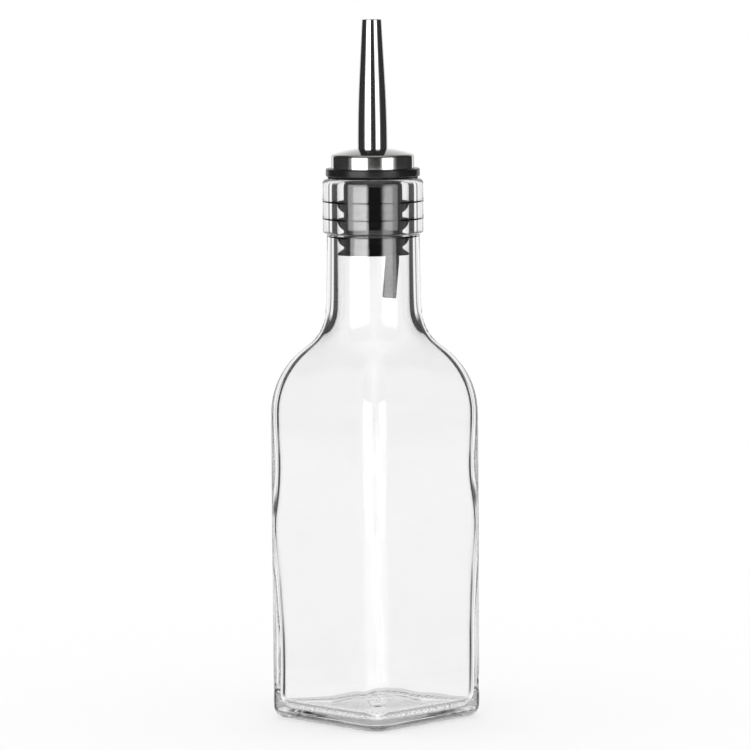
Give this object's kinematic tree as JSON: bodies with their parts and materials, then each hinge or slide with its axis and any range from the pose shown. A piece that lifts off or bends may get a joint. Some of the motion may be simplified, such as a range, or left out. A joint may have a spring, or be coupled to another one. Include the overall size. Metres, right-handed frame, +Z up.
{
  "type": "oil bottle with pourer",
  "caption": "Square clear-glass oil or vinegar bottle with a round neck and a push-in pourer: tapered steel spout, domed steel cap and a finned black stopper with an air tube.",
  "frame": {"origin": "on the bottle's upright axis, at the plane of the rim that the base stands on", "axes": "+Z up along the bottle's axis; X and Y square to the flat sides of the body"},
  "size_m": [0.048, 0.048, 0.2087],
  "materials": {
    "clear_glass": "clear, fire-polished, slightly uneven inside",
    "soft_rubber": "soft black moulding, satin",
    "black_plastic": "black moulding, satin",
    "polished_steel": "stainless steel, mirror polished"
  },
  "bodies": {
    "bottle": {"glass_bottle": "clear_glass"},
    "pourer": {"finned_sleeve": "soft_rubber", "stopper_core": "black_plastic", "vent_tube": "black_plastic", "cap_shell": "polished_steel", "spout_tube": "polished_steel"}
  },
  "joints": [
    {"name": "pourer_lift", "type": "slide", "parent": "bottle", "child": "pourer", "axis": [0, 0, 1], "range_m": [0, 0.045]}
  ]
}
